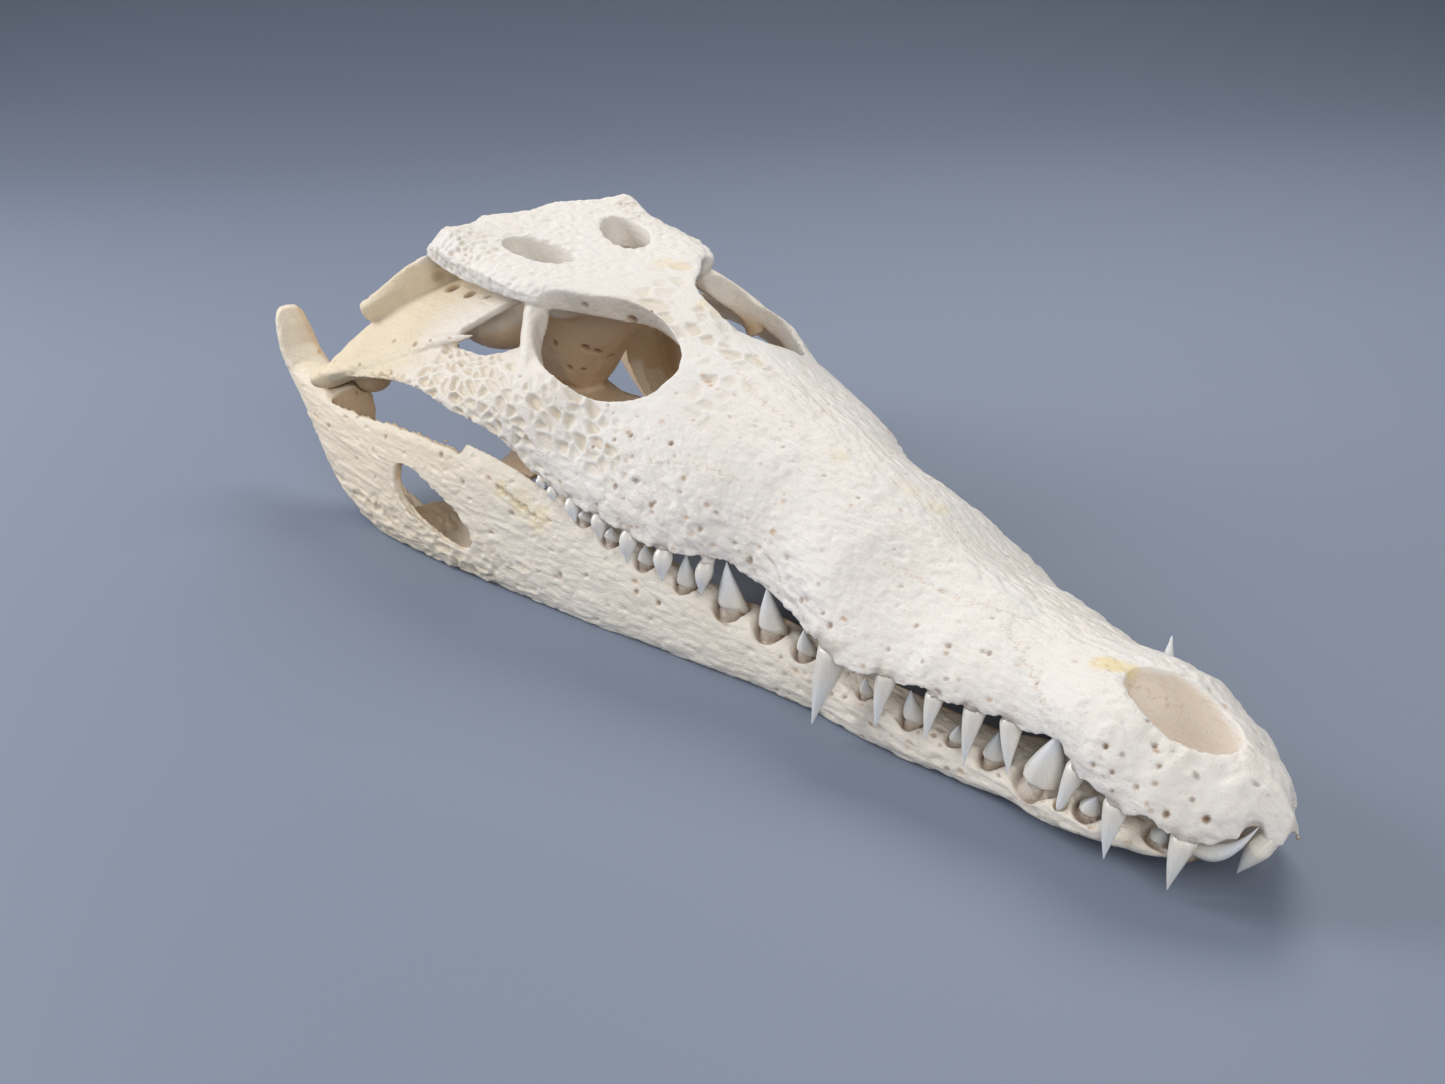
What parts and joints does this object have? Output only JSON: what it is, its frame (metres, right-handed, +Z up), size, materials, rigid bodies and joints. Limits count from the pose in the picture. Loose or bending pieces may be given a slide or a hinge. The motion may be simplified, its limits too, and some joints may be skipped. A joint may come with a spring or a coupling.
{
  "type": "crocodile skull",
  "caption": "Cleaned crocodile skull with its lower jaw closed, pointed teeth, open eye sockets and windows, and a long low snout.",
  "frame": {"origin": "on the floor, under the middle of the whole length and width", "axes": "+X toward the tip of the snout, +Y toward the animal's left side, +Z up from the floor the lower jaw lies on"},
  "size_m": [0.314, 0.1148, 0.0787],
  "materials": {
    "bone": "dry matte bleached bone, cream toward the back"
  },
  "bodies": {
    "root": {"braincase": "bone", "cheek_left": "bone", "cheek_right": "bone", "jaw_left": "bone", "jaw_right": "bone", "palate": "bone", "skull_roof": "bone", "snout": "bone"}
  },
  "joints": []
}
